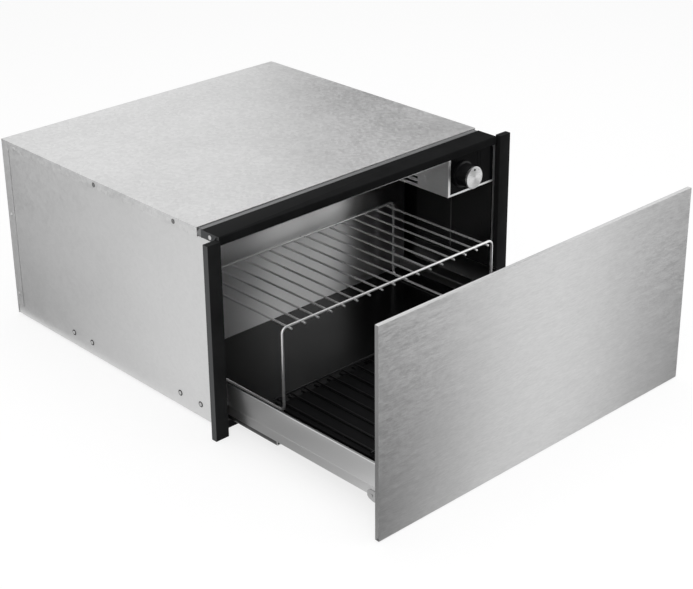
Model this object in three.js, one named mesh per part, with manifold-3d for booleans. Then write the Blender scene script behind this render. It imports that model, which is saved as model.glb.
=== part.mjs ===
import * as THREE from "three";
import { mergeVertices } from "three/addons/utils/BufferGeometryUtils.js";
import Module from "manifold-3d";

const wasm = await Module();
wasm.setup();

// Frame in millimetres: X to the right seen from the front, -Y to the front, +Y to the back, Z up.
// Origin: the casing's underside, on its centre line, at the front edge of the casing's top sheet.

// Casing
const casingWidth = 532;
const casingDepth = 465;
const casingHeight = 288;
const sheet = 0.9;
const seat = 0.3; // gap between two pieces that touch
const topBand = 14; // height of the top sheet's folded sides
const rearBand = 16; // depth of the rear panel's folded sides
const rearBandFoot = 15; // height at which the rear panel's folded sides start

// Front frame
const postWidth = 22.5;
const postThick = 10;
const postFront = -50;
const postFoot = -3;
const postTopLeft = casingHeight - 5;
const postTopRight = casingHeight - 0.5;
const railFront = -46;
const railBack = -9;
const railFoot = casingHeight - 12;
const railSheet = 1.2;
const railLip = 5;
const railRightEnd = 262;
const bottomRailFront = -34;

// Drawer
const openAtRest = 295; // how far the drawer is pulled out in the stored pose
const pullFurther = 105; // how much further it pulls out
const panelOverhang = 31; // how far the front panel reaches past the casing on each side
const panelHeight = casingHeight + 3;
const panelFoot = -2;
const panelThick = 6;
const panelClosedBack = -67;
const panSheet = 1;
const panGap = 0.7; // between the drawer's sides and the liners
const panStep = 22; // width of the ledge over each runner
const panFloor = 25; // upper side of the drawer's floor
const panLedge = 40.5; // upper side of the ledge that carries the drawer on its runners
const panTop = 74.6;
const panFlange = 3;
const panBend = 1.5; // outer radius of the drawer's folds
const rearWallFront = casingDepth - 335;
const rearWallInset = 14;
const rearReturn = 14;

// Runners
const runnerSheet = 1.5;
const runnerGap = 0.5;
const drawerRailFoot = 23.4;
const drawerRailInset = 3; // from the drawer's outer side
const drawerRailLength = 450;
const midRailFoot = 14.8;
const midRailDepth = 11;
const midRailLength = 398;
const midRailAtRest = -137;
const cabinetRailTop = panLedge - 2;
const railBend = 2.2; // outer radius of the runners' folds
const cabinetRailLength = casingDepth - 17;

// Rack and floor grid
const rackFront = -93;
const rackBack = rearWallFront - 19;
const rackInset = 35; // from the drawer's lower side wall
const rackHeight = 153;
const frameWire = 2; // radius
const shelfWire = 1.5; // radius
const wirePitch = 24;
const wireNub = 3;
const gridFront = -256;
const gridBack = -66;
const gridInset = 4; // from the rack's legs
const gridNub = 6;
const matThick = 1.6;
const plateThick = 1;

// Control and heater box
const boxWidth = 97.6;
const boxFoot = casingHeight - 73;
const boxFront = -40;
const boxBack = 260;
const boxFlangeLeft = 5;
const boxFlangeFoot = 3;
const fasciaThick = 2;
const knobInset = 29.5; // from the box's left wall
const knobZ = boxFoot + 30.5;
const knobRadius = 17;
const knobFront = -65;
const knobCapThick = 3;
const spindleRadius = 3;
const spindleClearance = 0.25;

// Fan
const fanInset = 34; // from the box's left wall
const fanZ = boxFoot + 28;
const fanRadius = 21;
const fanFront = 32;
const fanLength = 112;
const fanBlades = 22;
const fanShaftRadius = 2.5;
const elementRadius = 3.25;

// Latch
const latchZ = 62;
const latchTravel = 3;
const latchRadius = 4;

// Values that follow from the sizes above
const half = casingWidth / 2;
const sideFace = half - sheet - seat; // outer face of the side panels, under the folded bands
const sideInner = sideFace - sheet;
const linerOuter = sideInner - seat;
const topUnder = casingHeight - sheet;
const rearInner = casingDepth - sheet;
const panelBack = panelClosedBack - openAtRest;
const panelFront = panelBack - panelThick;
const panHalf = linerOuter - sheet - panGap;
const panLowerHalf = panHalf - panStep;
const rearWallHalf = panHalf - rearWallInset;
const rearWallTop = boxFoot - 10;
const frontWallTop = rearWallTop - 7;
const drawerRailFace = panHalf - drawerRailInset;
const rackHalf = panLowerHalf - rackInset;
const gridHalf = rackHalf - gridInset;
const wiresEachSide = Math.floor((gridHalf - 4) / wirePitch);
const fasciaTop = railFoot - 3.4;
const boxRight = linerOuter;
const boxLeft = boxRight - boxWidth;
const knobX = boxLeft + knobInset;
const fanX = boxLeft + fanInset;

const materials = {
  galvanised: [0xbfc4c7, 0.5, 0.85],
  galvanisedInner: [0xaeb3b6, 0.5, 0.85],
  stainless: [0xb9b7b2, 0.34, 1],
  zincSteel: [0xa6aaad, 0.4, 0.9],
  blackSatin: [0x202224, 0.48, 0.3],
  blackGloss: [0x0b0b0c, 0.1, 0],
  blackPlastic: [0x17181a, 0.38, 0],
  blackWire: [0x141416, 0.4, 0.1],
  blackEnamel: [0x1a1b1d, 0.25, 0.1],
  rubber: [0x1d1e1f, 0.85, 0],
  chrome: [0xd9dcde, 0.14, 1],
  silver: [0xc9cacb, 0.28, 1],
  ceramic: [0xd8d3c6, 0.6, 0],
  sheath: [0x6d6a64, 0.45, 0.8],
};

const part = new THREE.Group();
part.name = "built_in_warming_drawer";

// A closed geometry as a solid that can be joined and cut. Its corners are rounded to
// 1/1024 mm, so that faces meant to lie in one plane do so exactly.
function solid(geometry) {
  const g = geometry.index ? geometry.toNonIndexed() : geometry.clone();
  g.deleteAttribute("normal");
  g.deleteAttribute("uv");
  const values = g.attributes.position.array;
  for (let i = 0; i < values.length; i++) {
    values[i] = Math.round(values[i] * 1024) / 1024;
  }
  const merged = mergeVertices(g, 5e-4);
  return new wasm.Manifold(
    new wasm.Mesh({
      numProp: 3,
      vertProperties: new Float32Array(merged.attributes.position.array),
      triVerts: new Uint32Array(merged.index.array),
    }),
  );
}

// A solid as a geometry with flat-shaded faces.
function geometryOf(body) {
  const mesh = body.getMesh();
  const n = mesh.numProp;
  const points = new Float32Array(mesh.numVert * 3);
  for (let i = 0; i < mesh.numVert; i++) {
    points.set(mesh.vertProperties.subarray(i * n, i * n + 3), i * 3);
  }
  const g = new THREE.BufferGeometry();
  g.setAttribute("position", new THREE.BufferAttribute(points, 3));
  g.setIndex(new THREE.BufferAttribute(new Uint32Array(mesh.triVerts), 1));
  const flat = g.toNonIndexed();
  flat.computeVertexNormals();
  return flat;
}

function add(name, body, look) {
  const [color, roughness, metalness] = materials[look];
  const material = new THREE.MeshStandardMaterial({ color, roughness, metalness });
  const mesh = new THREE.Mesh(geometryOf(body), material);
  mesh.name = name;
  part.add(mesh);
}

function join(bodies) {
  return bodies.reduce((sum, body) => sum.add(body));
}

function cut(body, tools) {
  return tools.reduce((rest, tool) => rest.subtract(tool), body);
}

// A box between two corners.
function block(x0, x1, y0, y1, z0, z1) {
  const g = new THREE.BoxGeometry(x1 - x0, y1 - y0, z1 - z0);
  g.translate((x0 + x1) / 2, (y0 + y1) / 2, (z0 + z1) / 2);
  return solid(g);
}

// A box given for the right-hand side, or its mirror image on the left.
function sideBlock(side, x0, x1, y0, y1, z0, z1) {
  return side > 0 ? block(x0, x1, y0, y1, z0, z1) : block(-x1, -x0, y0, y1, z0, z1);
}

function shapeOf(points) {
  return new THREE.Shape(points.map(([a, b]) => new THREE.Vector2(a, b)));
}

// A flat outline in X and Z, extruded along Y.
function alongY(points, y0, y1, holes = []) {
  const shape = shapeOf(points);
  for (const hole of holes) {
    shape.holes.push(new THREE.Path(hole.map(([a, b]) => new THREE.Vector2(a, b))));
  }
  const g = new THREE.ExtrudeGeometry(shape, { depth: y1 - y0, bevelEnabled: false });
  g.rotateX(Math.PI / 2);
  g.translate(0, y1, 0);
  return solid(g);
}

// A flat outline in Y and Z, extruded along X.
function alongX(points, x0, x1) {
  const g = new THREE.ExtrudeGeometry(shapeOf(points), { depth: x1 - x0, bevelEnabled: false });
  g.rotateX(Math.PI / 2);
  g.rotateZ(Math.PI / 2);
  g.translate(x0, 0, 0);
  return solid(g);
}

// A flat outline in X and Y, extruded along Z.
function alongZ(points, z0, z1) {
  const g = new THREE.ExtrudeGeometry(shapeOf(points), { depth: z1 - z0, bevelEnabled: false });
  g.translate(0, 0, z0);
  return solid(g);
}

// The outline of a folded sheet: the line of its one face, thickened to the left of its direction.
function folded(line, thick) {
  const other = line.map(([x, y], i) => {
    const before = i > 0 ? line[i - 1] : null;
    const after = i < line.length - 1 ? line[i + 1] : null;
    const normals = [];
    if (before) {
      normals.push(leftNormal(before, [x, y]));
    }
    if (after) {
      normals.push(leftNormal([x, y], after));
    }
    if (normals.length === 1) {
      return [x + normals[0][0] * thick, y + normals[0][1] * thick];
    }
    const [a, b] = normals;
    const share = 1 + a[0] * b[0] + a[1] * b[1];
    return [x + ((a[0] + b[0]) * thick) / share, y + ((a[1] + b[1]) * thick) / share];
  });
  return [...line, ...other.reverse()];
}

function leftNormal([x0, y0], [x1, y1]) {
  const length = Math.hypot(x1 - x0, y1 - y0);
  return [-(y1 - y0) / length, (x1 - x0) / length];
}

// A line with each of its corners rounded to a radius.
function softened(line, radius, steps = 3) {
  return line.flatMap(([x, y], i) => {
    if (i === 0 || i === line.length - 1) {
      return [[x, y]];
    }
    const corner = new THREE.Vector2(x, y);
    const into = corner.clone().sub(new THREE.Vector2(...line[i - 1])).normalize();
    const out = new THREE.Vector2(...line[i + 1]).sub(corner).normalize();
    const angle = Math.acos(into.dot(out));
    const start = corner.clone().addScaledVector(into, -radius * Math.tan(angle / 2));
    const inward = out.clone().addScaledVector(into, -into.dot(out)).normalize();
    const centre = start.clone().addScaledVector(inward, radius);
    return Array.from({ length: steps + 1 }, (_, k) => {
      const a = (angle * k) / steps;
      const p = centre.clone().addScaledVector(inward, -radius * Math.cos(a));
      return p.addScaledVector(into, radius * Math.sin(a)).toArray();
    });
  });
}

// Mirrors an outline's first coordinate, and keeps it running the same way round.
function mirrored(points) {
  return points.map(([a, b]) => [-a, b]).reverse();
}

// A rectangle outline with rounded corners.
function roundedOutline(x0, x1, y0, y1, radius, steps = 4) {
  const centres = [
    [x1 - radius, y0 + radius, -Math.PI / 2],
    [x1 - radius, y1 - radius, 0],
    [x0 + radius, y1 - radius, Math.PI / 2],
    [x0 + radius, y0 + radius, Math.PI],
  ];
  return centres.flatMap(([cx, cy, start]) =>
    Array.from({ length: steps + 1 }, (_, i) => {
      const a = start + ((Math.PI / 2) * i) / steps;
      return [cx + radius * Math.cos(a), cy + radius * Math.sin(a)];
    }),
  );
}

// A turned piece about an axis along Y: the profile gives [radius, distance behind y].
function turned(profile, x, y, z, segments = 40) {
  const points = profile.map(([r, d]) => new THREE.Vector2(r, d));
  const g = new THREE.LatheGeometry(points, segments);
  g.translate(x, y, 0);
  const m = new THREE.Matrix4().makeTranslation(0, 0, z);
  g.applyMatrix4(m);
  return solid(g);
}

// A round bar between two points on an axis line.
function bar(from, to, radius, sides = 12) {
  const a = new THREE.Vector3(...from);
  const b = new THREE.Vector3(...to);
  const g = new THREE.CylinderGeometry(radius, radius, a.distanceTo(b), sides);
  const turn = new THREE.Quaternion().setFromUnitVectors(
    new THREE.Vector3(0, 1, 0),
    b.clone().sub(a).normalize(),
  );
  g.applyQuaternion(turn);
  g.translate((a.x + b.x) / 2, (a.y + b.y) / 2, (a.z + b.z) / 2);
  return solid(g);
}

// A path through given points, used as they are.
class PointPath extends THREE.Curve {
  constructor(points) {
    super();
    this.points = points;
  }

  getPoint(t) {
    return this.points[Math.round(t * (this.points.length - 1))].clone();
  }

  getPointAt(t) {
    return this.getPoint(t);
  }

  getSpacedPoints() {
    return this.points.map((p) => p.clone());
  }

  getTangentAt(t) {
    const i = Math.round(t * (this.points.length - 1));
    const a = this.points[Math.max(i - 1, 0)];
    const b = this.points[i];
    const c = this.points[Math.min(i + 1, this.points.length - 1)];
    const into = i > 0 ? b.clone().sub(a).normalize() : c.clone().sub(b).normalize();
    const out = c === b ? into : c.clone().sub(b).normalize();
    return into.add(out).normalize();
  }
}

// A bent round wire through corner points, each corner rounded to the bend radius.
function wire(corners, radius, bend, sides = 12, bendSteps = 5) {
  const at = corners.map((p) => new THREE.Vector3(...p));
  const points = [at[0]];
  for (let i = 1; i < at.length - 1; i++) {
    const into = at[i].clone().sub(at[i - 1]).normalize();
    const out = at[i + 1].clone().sub(at[i]).normalize();
    const angle = into.angleTo(out);
    const back = bend * Math.tan(angle / 2);
    const start = at[i].clone().addScaledVector(into, -back);
    const axisIn = out.clone().addScaledVector(into, -into.dot(out)).normalize();
    const centre = start.clone().addScaledVector(axisIn, bend);
    for (let k = 0; k <= bendSteps; k++) {
      const a = (angle * k) / bendSteps;
      const p = centre.clone().addScaledVector(axisIn, -bend * Math.cos(a));
      points.push(p.addScaledVector(into, bend * Math.sin(a)));
    }
  }
  points.push(at[at.length - 1]);
  const ring = Array.from({ length: sides }, (_, i) => {
    const a = (2 * Math.PI * i) / sides;
    return [radius * Math.cos(a), radius * Math.sin(a)];
  });
  const g = new THREE.ExtrudeGeometry(shapeOf(ring), {
    steps: points.length - 1,
    bevelEnabled: false,
    extrudePath: new PointPath(points),
  });
  return solid(g);
}

// Casing ------------------------------------------------------------------------------------

const bandFoot = casingHeight - topBand;
const rearBandFront = casingDepth - rearBand;
const mitreGap = 0.45;

// Top sheet with its two sides folded down and mitred at the rear.
const topSides = [
  [0, bandFoot],
  [rearBandFront - mitreGap, bandFoot],
  [casingDepth - mitreGap, casingHeight],
  [0, casingHeight],
];
add(
  "top_panel",
  join([
    block(-half, half, 0, casingDepth, topUnder, casingHeight),
    alongX(topSides, half - sheet, half),
    alongX(topSides, -half, -half + sheet),
  ]),
  "galvanised",
);

// Rear panel with its two sides folded forward over the side panels.
const rearTop = topUnder - seat;
const rearSides = [
  [rearBandFront, rearBandFoot],
  [casingDepth, rearBandFoot],
  [casingDepth, rearTop],
  [casingDepth - (casingHeight - rearTop) * (rearBand / topBand), rearTop],
  [rearBandFront, bandFoot],
];
const bushX = half - 44;
const bushZ = boxFoot + 11;
const bushRadius = 8;
add(
  "rear_panel",
  cut(
    join([
      block(-half, half, rearInner, casingDepth, 0, rearTop),
      alongX(rearSides, half - sheet, half),
      alongX(rearSides, -half, -half + sheet),
    ]),
    [bar([bushX, rearInner - 5, bushZ], [bushX, casingDepth + 5, bushZ], bushRadius + seat, 24)],
  ),
  "galvanised",
);

// Side panels: the front edge folds outwards behind the post.
const sideFront = postFront + postThick + seat;
const sideBack = rearInner - seat;
const frontHeight = railFoot - seat;
const sideOutline = [
  [sideFront, 0],
  [sideBack, 0],
  [sideBack, topUnder - seat],
  [seat, topUnder - seat],
  [seat, frontHeight],
  [sideFront, frontHeight],
];
for (const [name, side] of [["left", -1], ["right", 1]]) {
  const x0 = side > 0 ? sideInner : -sideFace;
  add(
    name + "_side_panel",
    join([
      alongX(sideOutline, x0, x0 + sheet),
      sideBlock(side, sideInner, half + postWidth - 3, sideFront, sideFront + sheet, 0, frontHeight),
    ]),
    "galvanised",
  );
}

// Base sheet with its sides and rear folded up inside the casing.
const baseFold = 10.5;
const mouthFront = -38.5;
const baseFront = bottomRailFront + 8.5;
const baseLine = [
  [-linerOuter, baseFold],
  [-linerOuter, 0],
  [linerOuter, 0],
  [linerOuter, baseFold],
];
const baseInner = linerOuter - sheet;
add(
  "base_panel",
  join([
    alongY(folded(baseLine, sheet), baseFront, sideBack),
    block(-baseInner - 0.2, baseInner + 0.2, sideBack - sheet, sideBack, sheet / 2, baseFold),
  ]),
  "galvanisedInner",
);

// Front rail: a folded sheet with tapered end tabs.
const railTop = casingHeight - 0.4;
const tab = [
  [railFront + railLip - 0.5, railTop],
  [railFront + railLip + 8, railFoot + 0.5],
  [railBack - 0.5, railFoot + 0.5],
  [railBack - 0.5, railTop],
];
const railLine = [
  [railFront, railFoot],
  [railFront, railTop],
  [railBack, railTop],
  [railBack, railFoot],
];
add(
  "top_rail",
  join([
    alongX(folded(softened([...railLine].reverse(), 1.6), railSheet).reverse(), -half, railRightEnd),
    block(-half, railRightEnd, railFront, railFront + railLip, railFoot, railTop - 1.6),
    alongX(tab, -half, -half + railSheet),
    alongX(tab, railRightEnd - railSheet, railRightEnd),
  ]),
  "blackSatin",
);

// Strip that joins the front rail to the top sheet.
const stripFront = railBack + seat;
const stripTop = topUnder - seat;
const stripSide = [
  [stripFront, railFoot + 0.5],
  [-seat, railFoot + 2.5],
  [-seat, stripTop - 3.2],
  [-4, stripTop - 2.6],
  [-4, stripTop],
  [stripFront, stripTop],
];
add(
  "joint_strip",
  join([
    block(-linerOuter, railRightEnd - 0.5, stripFront, 14, stripTop - sheet, stripTop),
    block(-linerOuter, railRightEnd - 0.5, stripFront, stripFront + sheet, railFoot + 0.5, stripTop),
    block(-half, -linerOuter + 1, stripFront, stripFront + sheet, railFoot + 0.5, stripTop),
    alongX(stripSide, -half, -half + sheet),
  ]),
  "galvanised",
);

// Bright trim under the front rail.
const trimTop = railFoot - seat;
add(
  "inner_trim",
  join([
    block(-linerOuter, railRightEnd - 0.5, boxFront, railBack - 0.5, trimTop - sheet, trimTop),
    block(-linerOuter, boxLeft - seat, boxFront, boxFront + sheet, trimTop - 4, trimTop),
  ]),
  "stainless",
);

// Posts each side of the front, with softly rounded upright edges.
for (const [name, side, top] of [["left", -1, postTopLeft], ["right", 1, postTopRight]]) {
  const x0 = side > 0 ? half + 0.5 : -half - 0.5 - postWidth;
  const outline = roundedOutline(x0, x0 + postWidth, postFront, postFront + postThick, 1.2, 3);
  add(name + "_post", alongZ(outline, postFoot, top), "blackSatin");
}

// Bottom rail between the side panels, in front of the base sheet and set back from the posts.
const bottomRail = folded(
  [
    [baseFront - seat, 0],
    [bottomRailFront, 0],
    [bottomRailFront, 11],
  ],
  railSheet,
);
add("bottom_rail", alongX(bottomRail.reverse(), -linerOuter, linerOuter), "blackSatin");

// Dark liners on the side panels: one at the mouth, one behind it beside the drawer's path.
const linerSeam = 42;
const linerBack = casingDepth - 25;
const linerTop = boxFoot - seat;
const mouthLinerFoot = panLedge + 2.5;
const linerFoot = panTop + 8.4;
const trimFoot = trimTop - 4;
for (const [name, side] of [["left", -1], ["right", 1]]) {
  const mouthTop = side > 0 ? linerTop : trimFoot - seat;
  add(
    name + "_mouth_liner",
    sideBlock(side, linerOuter - sheet, linerOuter, mouthFront, linerSeam - seat, mouthLinerFoot, mouthTop),
    "blackEnamel",
  );
  add(
    name + "_liner",
    join([
      sideBlock(side, linerOuter - sheet, linerOuter, linerSeam, linerBack, linerFoot, linerTop),
      sideBlock(side, linerOuter - sheet - 5, linerOuter, linerBack - sheet, linerBack, linerFoot, linerTop),
    ]),
    "blackEnamel",
  );
}

// Runners -----------------------------------------------------------------------------------

// Undermount runners: the drawer member is a cover over the middle member, which runs in a
// tray on the side panel. Each outline is for the right-hand side.
const drawerRailTop = panLedge - panSheet - seat;
const drawerRailInner = panLowerHalf + seat;
const midFace = drawerRailFace - runnerSheet - runnerGap;
const midBack = midFace - midRailDepth;
const midTop = drawerRailTop - runnerSheet - runnerGap;
const trayFoot = midRailFoot - runnerGap - runnerSheet;
const trayWallTop = drawerRailFoot - 0.8;
const drawerRailFront = panelBack + 2 + 2 * seat;
const drawerRail = folded(
  softened(
    [
      [drawerRailInner, drawerRailFoot],
      [drawerRailInner, drawerRailTop],
      [drawerRailFace, drawerRailTop],
      [drawerRailFace, drawerRailFoot],
    ],
    railBend,
  ),
  -runnerSheet,
);
const midRail = folded(
  softened(
    [
      [midBack, midTop - 6],
      [midBack, midTop],
      [midFace, midTop],
      [midFace, midRailFoot],
      [midBack, midRailFoot],
      [midBack, midRailFoot + 6],
    ],
    railBend,
  ),
  -runnerSheet,
);
const trayInner = midBack - runnerGap - runnerSheet;
const tray = folded(
  softened(
    [
      [trayInner, trayWallTop],
      [trayInner, trayFoot],
      [linerOuter, trayFoot],
      [linerOuter, cabinetRailTop],
    ],
    railBend,
  ),
  runnerSheet,
);
for (const [name, side] of [["left", -1], ["right", 1]]) {
  const onSide = (points) => (side > 0 ? points : mirrored(points));
  const guide = [midFace + runnerGap, midFace + runnerGap + runnerSheet];
  add(
    name + "_cabinet_rail",
    join([
      alongY(onSide(tray), mouthFront, mouthFront + cabinetRailLength),
      sideBlock(side, ...guide, mouthFront, mouthFront + cabinetRailLength, trayFoot + 0.5, trayWallTop),
    ]),
    "zincSteel",
  );
  add(
    name + "_mid_rail",
    alongY(onSide(midRail.reverse()), midRailAtRest, midRailAtRest + midRailLength),
    "zincSteel",
  );
  midRail.reverse();
  add(
    name + "_drawer_rail",
    alongY(onSide(drawerRail.reverse()), drawerRailFront, drawerRailFront + drawerRailLength),
    "stainless",
  );
  drawerRail.reverse();
}

// Drawer ------------------------------------------------------------------------------------

const frontWallFront = panelBack + seat;
const panFront = frontWallFront + panSheet + seat;
const panBack = rearWallFront + rearReturn + 2;

// Folded pan: floor, lower walls, ledges over the runners, upper walls and turned-in edges.
const panRight = [
  [panLowerHalf, panFloor - panSheet],
  [panLowerHalf, panLedge - panSheet],
  [panHalf, panLedge - panSheet],
  [panHalf, panTop],
  [panHalf - panFlange, panTop],
];
const panLeft = panRight.map(([x, z]) => [-x, z]).reverse();
add(
  "drawer_pan",
  alongY(folded(softened([...panLeft, ...panRight], panBend), panSheet), panFront, panBack),
  "stainless",
);

// Rear wall: narrower over the ledges, with its top and sides returned backwards.
const lowerFit = panLowerHalf - panSheet - seat;
const rearOutline = [
  [-lowerFit, panFloor + seat],
  [lowerFit, panFloor + seat],
  [lowerFit, panLedge + seat],
  [rearWallHalf, panLedge + seat],
  [rearWallHalf, rearWallTop],
  [-rearWallHalf, rearWallTop],
  [-rearWallHalf, panLedge + seat],
  [-lowerFit, panLedge + seat],
];
const returnBack = rearWallFront + rearReturn;
add(
  "drawer_rear_wall",
  join([
    alongY(rearOutline, rearWallFront, rearWallFront + panSheet),
    block(-rearWallHalf, rearWallHalf, rearWallFront, returnBack, rearWallTop - panSheet, rearWallTop),
    ...[1, -1].map((side) =>
      sideBlock(
        side,
        rearWallHalf - panSheet,
        rearWallHalf,
        rearWallFront,
        returnBack,
        panLedge + seat,
        rearWallTop,
      ),
    ),
    block(-lowerFit, lowerFit, rearWallFront, returnBack, panFloor + seat, panFloor + seat + panSheet),
  ]),
  "stainless",
);

// Front wall behind the front panel.
const upperFit = panHalf - panSheet - seat;
const frontWallHalf = panHalf - 12;
const frontOutline = [
  [-lowerFit, panFloor + seat],
  [lowerFit, panFloor + seat],
  [lowerFit, panLedge + seat],
  [upperFit, panLedge + seat],
  [upperFit, panTop - panSheet - seat],
  [frontWallHalf, panTop - panSheet - seat],
  [frontWallHalf, frontWallTop],
  [-frontWallHalf, frontWallTop],
  [-frontWallHalf, panTop - panSheet - seat],
  [-upperFit, panTop - panSheet - seat],
  [-upperFit, panLedge + seat],
  [-lowerFit, panLedge + seat],
];
const wallReturn = frontWallFront + 12;
add(
  "drawer_front_wall",
  join([
    alongY(frontOutline, frontWallFront, frontWallFront + panSheet),
    block(-frontWallHalf, frontWallHalf, frontWallFront, wallReturn, frontWallTop - panSheet, frontWallTop),
    block(-lowerFit, lowerFit, frontWallFront, wallReturn, panFloor + seat, panFloor + seat + panSheet),
  ]),
  "stainless",
);

// Front panel: a folded skin with a backing plate pressed into it.
const panelHalf = half + panelOverhang;
const panelTop = panelFoot + panelHeight;
const skin = 1;
add(
  "front_panel",
  cut(
    alongY(roundedOutline(-panelHalf, panelHalf, panelFoot, panelTop, 1.2, 3), panelFront, panelBack),
    [
      block(
        -panelHalf + skin,
        panelHalf - skin,
        panelFront + skin,
        panelBack + 1,
        panelFoot + skin,
        panelTop - skin,
      ),
    ],
  ),
  "stainless",
);
const backingEdge = skin + seat;
add(
  "panel_backing",
  block(
    -panelHalf + backingEdge,
    panelHalf - backingEdge,
    panelFront + backingEdge,
    panelBack,
    panelFoot + backingEdge,
    panelTop - backingEdge,
  ),
  "galvanisedInner",
);

// Brackets that tie the front panel to the runners' drawer members.
const clipFoot = 17;
const clipTop = 32;
const clipBack = panelBack + 51;
const clipRivetZ = 24.5;
const clipOutline = [
  [panelBack + seat, clipFoot],
  [clipBack - 10, clipFoot],
  [clipBack - 3, clipFoot + 2],
  [clipBack, clipFoot + 5],
  [clipBack, clipTop - 3],
  [clipBack - 3, clipTop],
  [panelBack + seat, clipTop],
];
for (const [name, side] of [["left", -1], ["right", 1]]) {
  const inner = drawerRailFace + seat;
  const outer = inner + 1.4;
  const plate = panelBack + seat;
  const rivetY = clipBack - 7;
  add(
    name + "_panel_bracket",
    join([
      alongX(clipOutline, side > 0 ? inner : -outer, side > 0 ? outer : -inner),
      sideBlock(side, drawerRailInner + panBend, outer, plate, plate + 2, clipFoot, drawerRailTop),
      bar([side * (outer - 0.5), rivetY, clipRivetZ], [side * (outer + 0.7), rivetY, clipRivetZ], 2.6, 16),
    ]),
    "zincSteel",
  );
}

// Dark plate over the drawer's floor.
const plateFoot = panFloor + seat;
const plateTop = plateFoot + plateThick;
add(
  "floor_plate",
  block(-lowerFit, lowerFit, wallReturn + seat, rearWallFront - seat, plateFoot, plateTop),
  "blackEnamel",
);

// Mat and wire grid on the drawer's floor.
const matFoot = plateTop + seat;
const matOutline = roundedOutline(-gridHalf - 1, gridHalf + 1, gridFront - 70, gridBack - 9, 5, 3);
add("floor_mat", alongZ(matOutline, matFoot, matFoot + matThick), "rubber");
const gridWire = 1.5;
const gridZ = matFoot + matThick + seat + gridWire;
const crossZ = gridZ + 2 * gridWire - 0.4;
const wireCount = 2 * wiresEachSide + 1;
const wireX = (i) => (i - wiresEachSide) * wirePitch;
add(
  "floor_grid",
  join([
    bar([-gridHalf, gridBack, crossZ], [gridHalf, gridBack, crossZ], gridWire, 10),
    bar([-gridHalf, gridFront, crossZ], [gridHalf, gridFront, crossZ], gridWire, 10),
    ...Array.from({ length: wireCount }, (_, i) =>
      bar(
        [wireX(i), gridFront - gridNub, gridZ],
        [wireX(i), gridBack + gridNub, gridZ],
        gridWire,
        10,
      ),
    ),
  ]),
  "blackWire",
);

// Lift-out rack: a bent frame wire with seventeen shelf wires under its bars.
const footZ = plateTop + seat + frameWire;
const halfLoop = (side) => {
  const x = side * rackHalf;
  return wire(
    [
      [0, rackFront, rackHeight],
      [x, rackFront, rackHeight],
      [x, rackFront, footZ],
      [x, rackBack, footZ],
      [x, rackBack, rackHeight],
      [0, rackBack, rackHeight],
    ],
    frameWire,
    8,
  );
};
const shelfZ = rackHeight - frameWire - shelfWire + 0.35;
add(
  "wire_rack",
  join([
    halfLoop(1),
    halfLoop(-1),
    ...Array.from({ length: wireCount }, (_, i) =>
      bar(
        [wireX(i), rackFront - frameWire - wireNub, shelfZ],
        [wireX(i), rackBack + frameWire + wireNub, shelfZ],
        shelfWire,
        10,
      ),
    ),
  ]),
  "chrome",
);

// Latch -------------------------------------------------------------------------------------

const closedBack = panBack + openAtRest;
const plungerTip = closedBack + 0.5;
const latchFront = plungerTip + latchTravel + 3.5;
const plungerLength = 13;
add(
  "latch_striker",
  block(-12, 12, rearWallFront + panSheet + seat, panBack, latchZ - 10, latchZ + 10),
  "zincSteel",
);
const latchBore = bar(
  [0, latchFront - 1, latchZ],
  [0, plungerTip + plungerLength + latchTravel + 1, latchZ],
  latchRadius + spindleClearance,
  32,
);
add(
  "latch_housing",
  cut(block(-14, 14, latchFront, sideBack, latchZ - 12, latchZ + 12), [latchBore]),
  "blackPlastic",
);
add(
  "latch_plunger",
  join([
    bar([0, plungerTip, latchZ], [0, plungerTip + plungerLength, latchZ], latchRadius, 32),
    bar([0, plungerTip, latchZ], [0, plungerTip + 2.5, latchZ], latchRadius + 1.5, 32),
  ]),
  "blackPlastic",
);

// Control and heater box --------------------------------------------------------------------

const boxFrontTop = fasciaTop + 0.8;
const flangeFront = 15;
const boxWall = [
  [boxFront, boxFoot],
  [boxBack, boxFoot],
  [boxBack, stripTop],
  [flangeFront, stripTop],
  [flangeFront, boxFrontTop],
  [boxFront, boxFrontTop],
];
const rightWall = [
  [boxFront, boxFoot],
  [boxBack, boxFoot],
  [boxBack, boxFrontTop],
  [boxFront, boxFrontTop],
];
const elementX = boxRight - 19.6;
const elementLow = boxFoot + 18;
const elementHigh = boxFoot + 44;
const louvres = [];
for (const z of [boxFoot + 6.5, boxFoot + 15, boxFoot + 23.5]) {
  for (const y of [22, 100]) {
    louvres.push(block(boxLeft - 2, boxLeft + 3, y, y + 68, z - 1.8, z + 1.8));
  }
}
const intakes = Array.from({ length: 9 }, (_, i) =>
  block(boxRight - 34.6, boxRight - 6.6, 28 + i * 15, 34 + i * 15, boxFoot - 2, boxFoot + 3),
);
const elementHoles = [elementLow, elementHigh].map((z) =>
  bar([elementX, boxBack - 5, z], [elementX, boxBack + 5, z], elementRadius + seat, 20),
);
add(
  "heater_box",
  cut(
    join([
      alongX(boxWall, boxLeft, boxLeft + sheet),
      alongX(rightWall, boxRight - sheet, boxRight),
      block(boxLeft, boxRight, boxFront, boxBack, boxFoot, boxFoot + sheet),
      block(boxLeft, boxRight, boxBack - sheet, boxBack, boxFoot, boxFrontTop),
      block(boxLeft - 10, boxLeft + sheet, flangeFront, boxBack, stripTop - sheet, stripTop),
      block(boxLeft, boxLeft + boxFlangeLeft, boxFront, boxFront + sheet, boxFoot, boxFrontTop),
      block(boxLeft, boxRight, boxFront, boxFront + sheet, boxFoot, boxFoot + boxFlangeFoot),
    ]),
    [...louvres, ...intakes, ...elementHoles],
  ),
  "stainless",
);

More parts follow.
